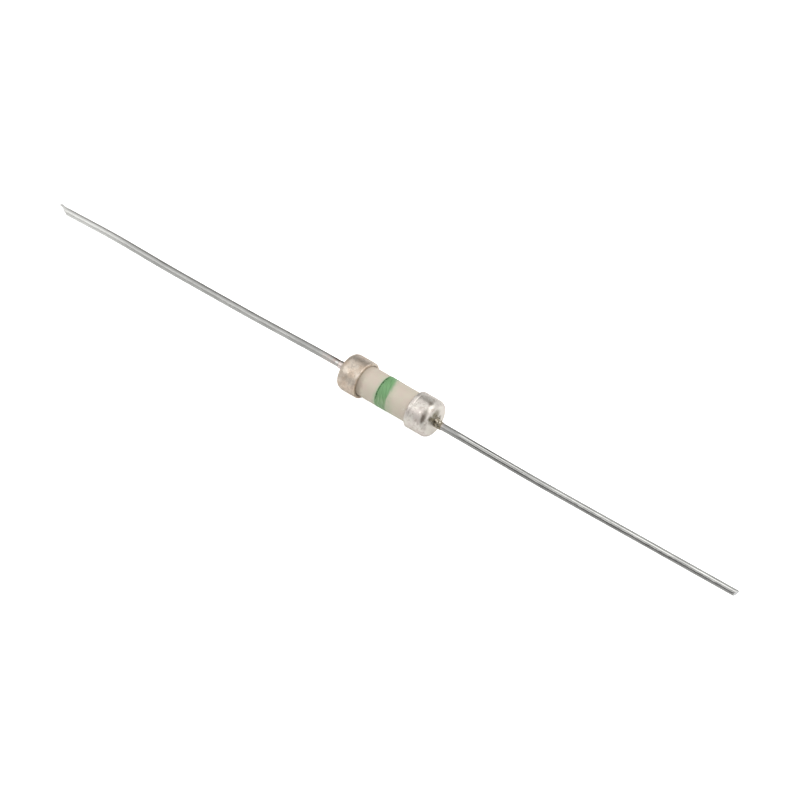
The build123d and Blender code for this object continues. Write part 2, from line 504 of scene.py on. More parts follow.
def spot(tree, x, turn, radius, length, width, soft=0.5, ragged=0.3, grain=0.2):
    """Soft ragged patch, 1 inside, at x along the fuse and this turn round it, in mm.

    The length is half its reach along the fuse and the width half its reach round it.
    """
    share = (1.0 / (length * MM), 1.0 / (width * MM), 1.0 / (width * MM))
    middle = (x / length, radius * cos(radians(turn)) / width, radius * sin(radians(turn)) / width)
    fitted = vectors(tree, "MULTIPLY", object_place(tree), share)
    reach = Field(tree, vectors(tree, "DISTANCE", fitted, middle))
    reach = reach + (mottle(tree, grain, shift=x + turn) - 0.5) * (2 * ragged)
    return 1.0 - reach.fade(1.0 - soft, 1.0 + soft)


def blend(tree, share, first, second):
    """Mixes two colours; the first shows where the share is 0."""
    node = add(tree, "ShaderNodeMix", {0: share, 6: first, 7: second}, data_type="RGBA",
               blend_type="MIX", clamp_factor=True)
    return node.outputs[2]


def tinted(colour, share=1.0):
    """A colour setting as a node's four numbers, made darker or brighter by this share."""
    return (*(part * share for part in colour), 1.0)


def layered(tree, base, *layers):
    """Lays colours over a base in turn; a layer is its share, its colour and any tint of it."""
    for share, *colour in layers:
        base = blend(tree, share, base, tinted(*colour))
    return base


def shade(tree, colour, rough, height, depth, metallic=0.0, **sockets):
    """Ends a material in one Principled shader with a bump."""
    bump = add(tree, "ShaderNodeBump", {"Height": height, "Distance": depth * MM, "Strength": 1.0})
    shader = add(tree, "ShaderNodeBsdfPrincipled",
                 {"Base Color": colour, "Roughness": rough, "Metallic": metallic,
                  "Normal": bump.outputs[0]})
    for label, value in sockets.items():
        shader.inputs[label.replace("_", " ")].default_value = value
    add(tree, "ShaderNodeOutputMaterial", {"Surface": shader.outputs[0]})


# ---------------------------------------------------------------- finishes

def front_turn(tree):
    """Turn round the fuse from its top towards its front, in radians; the cut is underneath."""
    _, y, z = parts_of(tree, object_place(tree))
    return (y * -1.0).calc("ARCTAN2", y * -1.0, z)


def ceramic_colour(tree, look):
    """Warm off-white ceramic with clouds, fine grains, painted shade at the left rim and pale
    crumbs.
    """
    left_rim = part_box("left_end_cap")[1].x
    # Painted shade lies on the tube by the left rim, where the cap meets it, heavier towards the
    # front.
    rim = (along_fuse(tree) - left_rim) / (0.55 * MM) + (mottle(tree, 0.25, shift=7.0) - 0.5) * 0.8
    front = front_turn(tree).fade(0.2, 1.4) * 0.4 + 0.25
    crumbs = (spot(tree, 2.45, 146.0, 1.5, 0.25, 0.3)
              * mottle(tree, 0.1, shift=12.0, detail=2.0).fade(0.52, 0.6))
    grain = mottle(tree, 0.07, detail=2.0, shift=2.0).fade(0.62, 0.78) * 0.14
    return layered(tree, tinted(look.colour),
                   (mottle(tree, 1.1, shift=3.0).fade(0.38, 0.66), look.warm_colour),
                   ((1.0 - rim.fade(0.0, 1.0)) * front, look.grain_and_rim_shade_colour),
                   (crumbs * 0.7, look.crumb_colour),
                   (grain, look.grain_and_rim_shade_colour))


def painted(tree, band, plain):
    """The green paint over this plain colour, thin past its slanting streaks, and the streaks."""
    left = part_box("green_band")[0].x
    x = along_fuse(tree)
    turn = front_turn(tree)
    slant = (x - turn * (band.streak_slant * MM)) / (0.09 * MM)
    streak = noise(tree, joined(tree, slant, turn * 1.3, 0.0), 3.0)
    # Where the brush left off on the right, measured along the fuse.
    stop = (streak - 0.5) * 0.3 + (mottle(tree, 0.3, shift=8.0) - 0.5) * 0.16 + band.stop
    short = (turn * -1.0).between(-0.3, 0.6, 1.2, 2.4) * band.back_gap
    over = x / MM - stop + short
    soft = 0.06 + 0.16 * (1.0 - turn.fade(0.3, 0.9))
    full = x.fade(left - 0.03 * MM, left) * (1.0 - ((over / soft) * 0.5 + 0.5).fade(0.0, 1.0))
    full = full * (1.0 - turn.fade(0.75, 1.35) * streak.fade(0.38, 0.62) * 0.35)
    thinness = mottle(tree, 0.35, shift=11.0).fade(0.25, 0.75) * 0.3 + 0.16
    trail = (x.fade(left - 0.42 * MM, left)
             * (1.0 - over.fade(0.0, turn.fade(0.6, 1.15) * 0.55 + 0.6))
             * (thinness + turn.fade(0.5, 1.5) * 0.2))
    green = blend(tree, streak.fade(0.32, 0.72), tinted(band.colour, 0.8), tinted(band.colour, 1.2))
    olive = over.fade(-0.3, -0.08) * turn.fade(0.2, 0.9) * streak.fade(0.6, 0.35)
    green = layered(tree, green, (olive * 0.7, band.olive_colour))
    thinned = layered(tree, plain, (trail, band.thin_colour))
    return blend(tree, full, thinned, green), streak


def ceramic_finish(look, band):
    """Satin ceramic, with the thin trails of paint beside the band."""
    material, tree = new_material("satin_ceramic")
    fine = mottle(tree, 0.05, detail=4.0, shift=1.0)
    rough = mottle(tree, 0.4, shift=5.0) * 0.2 + 0.42
    colour, _ = painted(tree, band, ceramic_colour(tree, look))
    shade(tree, colour, rough, fine, 0.006, Specular_IOR_Level=0.45)
    return material


def band_finish(band, look):
    """Brushed-on paint with a dark dried bead on its left edge."""
    material, tree = new_material("brushed_band_paint")
    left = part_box("green_band")[0].x
    colour, streak = painted(tree, band, ceramic_colour(tree, look))
    jag = (mottle(tree, 0.1, shift=6.0, detail=1.0) - 0.5) * 0.16
    line = ((along_fuse(tree) - left) / MM + jag).between(0.02, 0.06, 0.14, 0.18)
    dashes = mottle(tree, 0.11, shift=15.0, detail=1.0).fade(0.42, 0.56) * 0.75 + 0.25
    strong = front_turn(tree).between(-0.6, -0.1, 1.15, 1.5) * 0.65 + 0.35
    edged = layered(tree, colour, (line * dashes * strong, band.edge_colour))
    shade(tree, edged, streak * 0.2 + 0.4, streak, 0.008)
    return material


def cap_finish(name, colour, warm_colour, dark_colour, flux_colour, shift, polish, patches):
    """Plated cap: clouded and blotched metal with fine scuffs, painted glints, a closed end painted
    lighter, and patches: dull ones are rougher and painted darker, partly as painted reflections,
    and the others are flux stains.
    """
    material, tree = new_material(name)
    end = cap_size()[2]
    x = along_fuse(tree)
    # The closed end's colour is made lighter: painted light.
    closed_end_painted_light = x.calc("ABSOLUTE", x).fade(end - 0.12 * MM, end - 0.04 * MM)
    clouds = mottle(tree, 0.75, shift=shift, detail=4.0)
    blotches = mottle(tree, 0.3, shift=shift + 3.0, detail=4.0, rough=0.6)
    specks = mottle(tree, 0.09, shift=shift + 7.0, detail=2.0)
    speckle = mottle(tree, 0.17, shift=shift + 9.0, rough=0.65)
    # The glints are painted highlights in the colour, on smoother metal.
    glints = mottle(tree, 0.16, shift=shift + 5.0, detail=2.0).fade(0.6, 0.7)
    base = layered(tree, tinted(colour),
                   (clouds.fade(0.35, 0.68), warm_colour),
                   (blotches.fade(0.5, 0.7) * 0.5, dark_colour),
                   (specks.fade(0.62, 0.72) * 0.35, dark_colour, 0.7),
                   (glints * 0.6, colour, 1.25),
                   (closed_end_painted_light * 0.75, colour, 1.1))
    rough = blotches * 0.3 + clouds * 0.12 + polish - glints * 0.15
    stained = 0.0
    # Dull patches are rougher metal painted darker, partly as painted dark reflections; speckled
    # ones are flux stains.
    for *place, strength, speckled in patches:
        dull = spot(tree, *place) * strength
        patch = (dark_colour, 0.45)
        if speckled:
            dull = dull * (speckle.fade(0.72, 0.54) * 0.7 + 0.3)
            stained = dull + stained
            patch = (flux_colour, 1.4 - 0.8 * strength)
        base = layered(tree, base, (dull, *patch))
        rough = rough + dull * 0.25
    scuffs = mottle(tree, 0.05, stretch=(1.0, 1.0, 7.0), shift=shift + 2.0)
    height = blotches * 0.6 + scuffs * 0.25 + specks * 0.15
    shade(tree, base, rough, height, 0.02, metallic=1.0 - stained * 0.9)
    return material


def wire_finish(look):
    """Tinned wire: grey metal with drawn streaks and dull specks.

    The left root is pink, with a painted dark reflection on its top and a painted highlight
    beside it, the left tip is painted lighter, partly as painted light, and its cut face dull,
    the right root is greyer, and near the body the right lead has painted highlight and shade
    stripes.
    """
    material, tree = new_material("tinned_wire")
    x, y, z = parts_of(tree, object_place(tree))
    streaks = mottle(tree, 0.09, stretch=(14.0, 1.0, 1.0), shift=2.0)
    cloud = mottle(tree, 0.5, stretch=(4.0, 1.0, 1.0), shift=9.0, detail=4.0)
    specks = mottle(tree, 0.11, stretch=(2.0, 1.0, 1.0), shift=5.0)
    heated = (x.between(-8.2 * MM, -6.6 * MM, 6.0 * MM, 6.5 * MM)
              * mottle(tree, 0.3, shift=1.0).fade(0.3, 0.7))
    # Painted light on the left root: a dark reflection on its top and a highlight beside it.
    painted_top_reflection = spot(tree, -6.3, 58.0, 0.46, 0.5, 0.16) * 0.75
    painted_root_highlight = spot(tree, -6.1, 106.0, 0.36, 0.2, 0.09, grain=0.1)
    # The left tip is painted lighter, partly standing in for the light on it.
    bare = 1.0 - x.fade(-35.0 * MM, -27.0 * MM)
    grey = x.between(5.9 * MM, 6.2 * MM, 7.6 * MM, 9.0 * MM)
    # Near the body the right lead has a painted highlight stripe, with a painted shade stripe beside
    # it.
    across = (y * cos(look.bow_turn) + z * sin(look.bow_turn)) / -MM
    near = x.between(7.3 * MM, 8.3 * MM, 13.5 * MM, 16.0 * MM)
    painted_highlight = across.between(-0.1, 0.0, 0.05, 0.14)
    painted_shade_stripe = across.between(0.05, 0.13, 0.26, 0.36)
    base = layered(tree, tinted(look.colour),
                   (cloud.fade(0.35, 0.7), look.colour, 0.8),
                   (specks.fade(0.6, 0.75) * 0.6, look.dark_colour),
                   (heated * 0.8, look.root_colour),
                   (painted_top_reflection, look.top_reflection_colour),
                   (painted_root_highlight, look.colour, 1.4),
                   (bare, look.colour, 1.4),
                   (grey * 0.6, look.colour, 0.6),
                   (near * painted_highlight, look.colour, 1.5),
                   (near * painted_shade_stripe * 0.85, look.colour, 0.5))
    dull = 1.0 - x.fade(-6.0 * MM, 0.0) * (x.fade(7.5 * MM, 10.0 * MM) * 0.8 + 0.2)
    rough = cloud * 0.1 + streaks * 0.06 + dull * 0.28 + 0.07
    sheared = 1.0 - x.fade(-37.8 * MM, -37.0 * MM)
    shade(tree, base, rough, streaks * 0.5 + cloud * 0.5, 0.012, metallic=1.0 - sheared * 0.6)
    return material


def solder_finish(name, colour, look, cover, shift, pits_and_shade, glint_spots):
    """Solder under burnt flux, with dark spots, partly painted shade, and painted glints: the cover
    sets how much of it is stained.
    """
    material, tree = new_material(name)
    stain = mottle(tree, 0.2, shift=shift, detail=4.0, rough=0.65)
    glint = mottle(tree, 0.1, shift=shift + 4.0)
    # Specks where the stain clears and the solder is smoother are painted highlights.
    painted_highlight = glint.fade(0.52, 0.64)
    stained = stain.fade(0.62 - 0.25 * cover, 0.74 - 0.25 * cover) * (1.0 - painted_highlight)
    pitted_and_shaded = mottle(tree, 0.14, shift=shift + 9.0).fade(0.56, 0.68) * cover * 0.6
    # The listed dark spots are partly painted shade and dark reflections.
    for x, turn, radius, size in pits_and_shade:
        pitted_and_shaded = pitted_and_shaded.most(spot(tree, x, turn, radius, size, size, ragged=0.4, grain=0.1))
    # Light specks and the listed glint spots are painted highlights, lighter and not metal.
    painted_glint_share = glint.fade(0.6, 0.72) * 0.5
    for x, turn, radius, size in glint_spots:
        painted_glint_share = painted_glint_share.most(spot(tree, x, turn, radius, size, size, ragged=0.4, grain=0.08))
    base = layered(tree, tinted(colour), (stained, look.stain_colour),
                   (pitted_and_shaded, look.flux_colour), (painted_glint_share, colour, 1.4))
    metallic = 1.0 - stained.most(pitted_and_shaded).most(painted_glint_share) * 0.9
    rough = stain * 0.2 + 0.2 + (1.0 - painted_highlight) * 0.1
    shade(tree, base, rough, glint, 0.03, metallic=metallic)
    return material


def plain_metal_finish(name, colour, size):
    """Lightly clouded bare metal for the pieces sealed inside the tube."""
    material, tree = new_material(name)
    clouds = mottle(tree, size)
    base = layered(tree, tinted(colour), (clouds.fade(0.3, 0.7), colour, 0.75))
    shade(tree, base, clouds * 0.2 + 0.25, clouds, 0.01, metallic=1.0)
    return material


# ---------------------------------------------------------------- settings

def length(name, description, millimetres):
    return FloatProperty(name=name, description=description, default=millimetres * MM,
                         unit="LENGTH", subtype="DISTANCE", precision=6, min=0.0)


def angle(name, description, degrees):
    return FloatProperty(name=name, description=description, default=radians(degrees),
                         unit="ROTATION", subtype="ANGLE")


def level(name, description, default, **limits):
    return FloatProperty(name=name, description=description, default=default, min=0.0,
                         subtype="FACTOR", **limits)


def power(name, description, default):
    return FloatProperty(name=name, description=description, default=default, min=0.0,
                         unit="POWER")


def tint(name, description, default):
    return FloatVectorProperty(name=name, description=description, default=default,
                               subtype="COLOR", size=3, min=0.0, max=1.0)


class FuseStage(PropertyGroup):
    azimuth: angle("Camera azimuth", "Turn of the camera round the fuse; 0 looks along +Y", 37.7)
    elevation: angle("Camera elevation", "Angle of the camera above the floor", 48.3)
    distance: length("Camera distance", "From the camera to the point it looks at", 650.0)
    lens: FloatProperty(name="Lens", description="Focal length in millimetres", default=326.1,
                        min=1.0, unit="CAMERA")
    aim_right: length("Aim right", "Shift of the aim to the picture's right", 0.794)
    aim_down: length("Aim down", "Shift of the aim to the picture's foot", 0.432)
    top_power: power("Top softbox", "Power of the softbox straight above", 0.30)
    front_power: power("Front softbox", "Power of the softbox above the camera's side", 0.23)
    room_low: level("Room light, low", "Brightness of the room near the horizon", 0.62)
    room_high: level("Room light, high", "Brightness of the room overhead", 0.77)
    back_card: level("Back card", "Brightness of the dark card half way up at the back", 0.01)
    left_card: level("Left card", "Brightness of the card in front of the left lead", 0.30)
    front_card: level("Front card", "Brightness of the grey card that stands in front", 0.75)
    black_card: level("Black card", "Brightness of the card in front of the right lead", 0.16)
    grey_card: level("Grey card", "Brightness of the card above that one", 0.58)
    bright_card: level("Bright card", "Brightness of the card above the right lead", 1.9)
    window: level("Window", "Light that the room gains half way up on the right", 0.34)
    floor_glow: level("Floor glow", "Brightness that the table gains towards the camera", 0.9)
    floor_colour: tint("Floor", "Colour of the table", (0.93, 0.93, 0.93))
    mat_colour: tint("Mat", "Colour of the mat before the right lead", (0.5, 0.5, 0.5))


class FuseTube(PropertyGroup):
    bore_radius: length("Bore radius", "Radius of the hole through the tube", 0.9)
    end_chamfer: length("End chamfer", "Bevel at the tube's ends", 0.08)
    wave_depth: length("Unevenness", "Depth of the fired surface's low waves", 0.012)
    colour: tint("Ceramic", "Main colour of the tube", (0.728, 0.66, 0.54))
    warm_colour: tint("Warm clouds", "Colour of its warmer clouds", (0.738, 0.632, 0.535))
    crumb_colour: tint("Crumbs", "Colour of the pale crumbs by the right rim", (0.88, 0.80, 0.72))
    # This colour is the grains' own colour and the painted shade by the left rim.
    grain_and_rim_shade_colour: tint("Dinge", "Colour of the grains and the left rim's grime",
                       (0.33, 0.26, 0.19))


class FuseBand(PropertyGroup):
    wander: length("Edge wander", "How far the painted edges stray", 0.06)
    stop: FloatProperty(
        name="Right stop", description="Mean place of the paint's right edge, in millimetres",
        default=0.40)
    back_gap: FloatProperty(
        name="Back gap", description="How much shorter it stops behind the top, in millimetres",
        default=0.36)
    streak_slant: FloatProperty(
        name="Streak slant", description="How far the streaks run along the fuse in each radian, "
        "in millimetres", default=0.5)
    colour: tint("Paint", "Colour where the paint is full", (0.20, 0.42, 0.18))
    olive_colour: tint("Olive streaks", "Colour of the dull streaks on its right",
                       (0.20, 0.32, 0.16))
    thin_colour: tint("Thin paint", "Colour where it thins out", (0.42, 0.60, 0.36))
    edge_colour: tint("Edge bead", "Colour of the dried bead", (0.04, 0.09, 0.03))


class FuseCaps(PropertyGroup):
    wall: length("Wall", "Thickness of the drawn cup", 0.26)
    corner_radius: length("Corner radius", "Outer radius at the closed end", 0.6)
    rim_round: length("Rim round", "Outer rounding of the open rim", 0.15)
    lip_width: length("Lip width", "Width of the lip at the open rim", 0.42)
    groove_depth: length("Groove depth", "Depth of the groove behind the lip", 0.022)
    left_rim_skew: length("Left rim skew", "How much shorter the left rim's front is", 0.2)
    lead_hole_radius: length("Lead hole radius", "Radius of the hole for the lead", 0.375)
    wave_depth: length("Unevenness", "Depth of the low waves in the metal", 0.02)
    dent_depth: length("Dent depth", "Depth of the small dents", 0.02)
    left_colour: tint("Left metal", "Colour of the left cap", (0.80, 0.71, 0.61))
    left_warm: tint("Left clouds", "Colour of its warmer clouds", (0.73, 0.60, 0.48))
    right_colour: tint("Right metal", "Colour of the right cap", (0.90, 0.86, 0.79))
    right_warm: tint("Right clouds", "Colour of its pinkish clouds", (0.80, 0.73, 0.68))
    # This colour is that of the tarnished blotches and specks, and of the painted dark reflections
    # in the dull patches.
    tarnish_and_dark_reflection: tint("Tarnish", "Colour of the tarnished blotches", (0.42, 0.35, 0.28))


class FuseSolder(PropertyGroup):
    lump_depth: length("Lump depth", "Depth of the lumps in the solder", 0.14)
    lean: level("Lean", "How much thinner the solder is on its front", 0.75, max=1.0)
    edge_height: length("Edge height", "Height of the solder's outer edge", 0.03)
    crumb_size: length("Crumb size", "Radius of the largest crumb", 0.035)
    colour: tint("Solder", "Colour of the right solder", (0.66, 0.60, 0.50))
    clean_colour: tint("Left solder", "Colour of the left solder", (0.78, 0.69, 0.65))
    stain_colour: tint("Flux stain", "Colour of the thin flux on it", (0.25, 0.215, 0.14))
    # This colour also paints the shade and dark reflections in the solder's dark spots.
    flux_colour: tint("Burnt flux", "Colour of the burnt spots", (0.08, 0.07, 0.045))


class FuseLeads(PropertyGroup):
    radius: length("Wire radius", "Radius of the lead wire", 0.345)
    head_radius: length("Head radius", "Radius of the head inside the cap", 0.525)
    head_length: length("Head length", "Length of that head", 0.2)
    wave_depth: length("Unevenness", "Depth of the drawn wire's waves", 0.01)
    nick_depth: length("Nick depth", "Depth of the nicks in the wire", 0.03)
    burr_length: length("Burr length", "Length of the left tip's lip", 0.36)
    burr_thickness: length("Burr thickness", "Thickness of that lip", 0.2)
    burr_lift: length("Burr lift", "How far that lip turns up", 0.07)
    shear_angle: angle("Shear angle", "Slant of the left tip's cut", 53.5)
    cut_angle: angle("Cut angle", "Slant of the right tip's cut", 20.0)
    bow_turn: angle("Long side", "Turn round the fuse of the tips' long side", 35.0)
    seed: IntProperty(name="Seed", description="Picks the places of the nicks", default=4, min=0)
    colour: tint("Tinned wire", "Colour of the wire", (0.59, 0.59, 0.57))
    dark_colour: tint("Specks", "Colour of its dull specks", (0.25, 0.24, 0.22))
    root_colour: tint("Root tint", "Tint where the left lead was heated", (0.64, 0.51, 0.46))
    # This colour paints a dark reflection on the left root's top.
    top_reflection_colour: tint("Scorch", "Colour of the burnt streak on its top", (0.20, 0.15, 0.12))


# ---------------------------------------------------------------- stage

# Each softbox: the setting for its power, its place, its width and its depth, in metres.
SOFTBOXES = {
    "top_softbox": ("top_power", (0.15, 0.07, 0.30), 0.40, 0.28),
    "front_softbox": ("front_power", (-0.18, -0.26, 0.30), 0.26, 0.22),
}
# Each card lies along the fuse: its turn round the fuse in degrees, its distance, its low and
# high edges across that turn and its left and right ends in millimetres, and whether it is there
# for the shine only, without soft light or shadow. Its brightness is the setting of its name.
CARDS = {
    "back_card": (38.0, 55, -16, 16, -130, -9, False),
    "left_card": (180.0, 50, -15, 1.7, -130, -36, False),
    "front_card": (180.0, 50, -17, 0, -36, -15, False),
    "black_card": (180.0, 50, -40, 1.7, -15, 30, False),
    "grey_card": (122.0, 60, -17, 13, -11, 24, True),
    "bright_card": (84.0, 60, -16, 14, -9, 24, True),
}
TABLE_REACH = 3.0       # from the fuse to the table's edges
SENSOR_WIDTH = 36.0     # of the camera, in millimetres
NEAREST, FARTHEST = 0.01, 20.0      # distances that the camera sees between


def sheet(name, corners, material):
    """A flat four-cornered sheet in the scene."""
    mesh = bpy.data.meshes.new(name)
    mesh.from_pydata(corners, [], [(0, 1, 2, 3)])
    mesh.materials.append(material)
    flat = bpy.data.objects.new(name, mesh)
    bpy.context.scene.collection.objects.link(flat)
    return flat


class FUSE_OT_stage(Operator):
    """Sets up the white table, the soft light and the camera"""
    bl_idname = "fuse.stage"
    bl_label = "Stage"

    def execute(self, context):
        stage = context.scene.fuse_stage
        self.light_room(context.scene, stage)
        for name, (setting, place, width, depth) in SOFTBOXES.items():
            self.hang_softbox(context.scene, name, getattr(stage, setting), place, width, depth)
        for name, sizes in CARDS.items():
            self.hang_card(name, getattr(stage, name), *sizes)
        self.lay_floor(stage)
        self.place_camera(context.scene, stage)
        context.scene.view_settings.view_transform = "Standard"
        return {"FINISHED"}

    def light_room(self, scene, stage):
        world = bpy.data.worlds.new("soft_room")
        world.use_nodes = True
        tree = world.node_tree
        tree.nodes.clear()
        x, _, z = parts_of(tree, add(tree, "ShaderNodeTexCoord").outputs["Generated"])
        light = z.fade(0.5, 0.9) * (stage.room_high - stage.room_low) + stage.room_low
        light = light + (x * 0.86 + z * 0.5).fade(0.8, 0.95) * stage.window
        # The camera itself sees plain white.
        light = light + camera_ray(tree) * (1.0 - light)
        room = add(tree, "ShaderNodeBackground", {"Color": WHITE, "Strength": light})
        add(tree, "ShaderNodeOutputWorld", {"Surface": room.outputs[0]})
        scene.world = world

    def hang_softbox(self, scene, name, energy, place, width, depth):
        lamp = bpy.data.lights.new(name, "AREA")
        lamp.shape = "RECTANGLE"
        lamp.size, lamp.size_y = width, depth
        lamp.energy = energy
        softbox = bpy.data.objects.new(name, lamp)
        softbox.location = place
        scene.collection.objects.link(softbox)

    def hang_card(self, name, brightness, degrees, gap, low, high, left, right, shine_only):
        material, tree = new_material(name)
        shader = add(tree, "ShaderNodeEmission", {"Color": WHITE, "Strength": brightness})
        add(tree, "ShaderNodeOutputMaterial", {"Surface": shader.outputs[0]})
        turn = radians(degrees)
        out = Vector((0.0, cos(turn), sin(turn))) * (gap * MM)
        across = Vector((0.0, -sin(turn), cos(turn)))
        corners = [out + across * (edge * MM) + Vector((x * MM, 0.0, 0.0))
                   for edge, x in ((low, left), (low, right), (high, right), (high, left))]
        card = sheet(name, corners, material)
        card.visible_camera = False
        card.visible_diffuse = card.visible_shadow = not shine_only

    def lay_floor(self, stage):
        material, tree = new_material("white_table")
        # A dark mat lies under the right lead's front.
        x, y, _ = parts_of(tree, object_place(tree))
        front = y * -1.0
        mat = x.fade(6 * MM, 8 * MM) * front.between(1 * MM, 2 * MM, 12 * MM, 14 * MM)
        base = layered(tree, tinted(stage.floor_colour), (mat, stage.mat_colour))
        shader = add(tree, "ShaderNodeBsdfPrincipled",
                     {"Base Color": base, "Roughness": 0.8, "Emission Color": WHITE,
                      "Emission Strength": camera_ray(tree) * stage.floor_glow})
        # From underneath the table is clear.
        clear = add(tree, "ShaderNodeBsdfTransparent")
        under = add(tree, "ShaderNodeNewGeometry").outputs["Backfacing"]
        both = add(tree, "ShaderNodeMixShader",
                   {0: under, 1: shader.outputs[0], 2: clear.outputs[0]})
        add(tree, "ShaderNodeOutputMaterial", {"Surface": both.outputs[0]})
        reach, height = TABLE_REACH, CAD_BOX[0].z
        sheet("floor", [(-reach, -reach, height), (reach, -reach, height),
                                 (reach, reach, height), (-reach, reach, height)], material)

    def place_camera(self, scene, stage):
        turn, rise = stage.azimuth, stage.elevation
        back = Vector((sin(turn) * cos(rise), -cos(turn) * cos(rise), sin(rise)))
        right = Vector((cos(turn), sin(turn), 0.0))
        down = right.cross(back)
        data = bpy.data.cameras.new("camera")
        data.lens = stage.lens
        data.sensor_width = SENSOR_WIDTH
        data.clip_start, data.clip_end = NEAREST, FARTHEST
        camera = bpy.data.objects.new("camera", data)
        camera.location = right * stage.aim_right + down * stage.aim_down + back * stage.distance
        camera.rotation_mode = "QUATERNION"
        camera.rotation_quaternion = (-back).to_track_quat("-Z", "Y")
        scene.collection.objects.link(camera)
        scene.camera = camera


# ---------------------------------------------------------------- pieces

# Dull or stained patches on the caps, in millimetres and degrees: (x, turn, radius, length,
# width, strength, whether it is a speckled flux stain). The dull ones are rougher metal painted
# darker, partly as painted dark reflections; the stained ones are flux.
CAP_PATCHES = {
    "left": [(-3.7, 147.0, 1.8, 0.9, 0.3, 0.15, False)],
    "right": [
        (4.57, 130.0, 1.7, 0.24, 0.72, 0.6, False),
        (4.60, 139.0, 1.68, 0.15, 0.4, 0.6, False),
        (3.95, 84.0, 1.8, 0.7, 0.16, 0.4, False),
        (4.36, 85.5, 1.76, 0.28, 0.22, 0.45, False),
        (4.47, 90.0, 1.75, 0.14, 0.18, 0.4, False),
        (5.07, 131.0, 1.27, 0.4, 0.26, 1.0, True),
        (5.07, 134.0, 0.95, 0.4, 0.26, 1.0, True),
        (5.07, 139.0, 0.62, 0.4, 0.28, 1.0, True),
        (5.07, 141.0, 0.44, 0.4, 0.12, 1.0, True),
        (5.07, 101.0, 0.8, 0.4, 0.5, 0.6, True),
        (5.07, 97.0, 0.75, 0.4, 0.62, 0.55, True),
        (5.07, 104.0, 1.04, 0.4, 0.2, 0.6, True),
        (5.07, 89.5, 0.65, 0.4, 0.16, 0.8, True),
        (5.07, 0.0, 0.5, 0.4, 0.25, 0.6, True),
    ],
}
# Spots on the solder: (x, turn, radius, size). The dark ones are burnt black-brown flux, partly
# painted shade and dark reflections; the glint spots are painted highlights.
PITS_AND_SHADE = {
    "left": [(-5.72, 64.0, 0.47, 0.13), (-5.52, 66.0, 0.47, 0.1)],
    "right": [(5.18, 145.0, 0.45, 0.12), (5.54, 159.0, 0.43, 0.1), (5.62, 168.0, 0.46, 0.1),
              (5.22, 177.0, 0.48, 0.1), (5.31, 52.0, 0.38, 0.12)],
}
GLINT_SPOTS = {
    "left": [(-5.84, 108.0, 0.38, 0.1), (-5.66, 108.0, 0.39, 0.09), (-5.74, 156.0, 0.3, 0.09)],
    "right": [(5.17, 110.0, 0.42, 0.1), (5.27, 116.0, 0.43, 0.06), (5.38, 122.0, 0.43, 0.07),
              (5.47, 69.0, 0.35, 0.09), (5.61, 113.0, 0.31, 0.08)],
}


class FUSE_OT_tube(Operator):
    """Makes the ceramic tube"""
    bl_idname = "fuse.tube"
    bl_label = "Ceramic tube"

    def execute(self, context):
        tube = context.scene.fuse_tube
        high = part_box("ceramic_tube")[1]
        end, radius, bore, bevel = high.x, high.z, tube.bore_radius, tube.end_chamfer
        outline = outline_of((-end + bevel, radius), ((end - bevel, radius), 150),
                             ((end, radius - bevel), 3), ((end, bore), 6), ((-end, bore), 40),
                             ((-end, radius - bevel), 6), ((-end + bevel, radius), 3))
        piece = turn_piece("ceramic_tube_body", outline,
                           ceramic_finish(tube, context.scene.fuse_band),
                           {"Segments": 144, "Wave depth": tube.wave_depth,
                            "Wave size": 0.9 * MM, "Seed": 2.0})
        hand_over(piece, "ceramic_tube")
        return {"FINISHED"}


class FUSE_OT_band(Operator):
    """Makes the painted green band"""
    bl_idname = "fuse.band"
    bl_label = "Green band"

    def execute(self, context):
        band = context.scene.fuse_band
        low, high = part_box("green_band")
        full, tube_radius = high.z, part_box("ceramic_tube")[1].z
        left, right = low.x + band.wander / 2, high.x - band.wander / 2
        # The foot lies inside the tube, and a raised bead runs down to thin paint on the right.
        foot, thin = tube_radius - 0.004 * MM, tube_radius + 0.004 * MM
        bead_top, bead_end = left + 0.01 * MM, left + 0.09 * MM
        outline = outline_of((left, foot), ((bead_top, full), 2),
                             ((bead_end, full - 0.006 * MM), 3), ((right, thin), 24),
                             ((right, foot), 1), ((left, foot), 24))
        piece = turn_piece("green_band_paint", outline,
                           band_finish(band, context.scene.fuse_tube),
                           {"Segments": 200, "Edge wander": band.wander, "Seed": 3.0})
        hand_over(piece, "green_band")
        return {"FINISHED"}


def lead_root(side, way):
    """Y and Z of a lead's axis where it leaves its cap."""
    root = centre_line(f"{side}_lead", way, cut_length=2.0 * MM)[2]
    return root.y, root.z


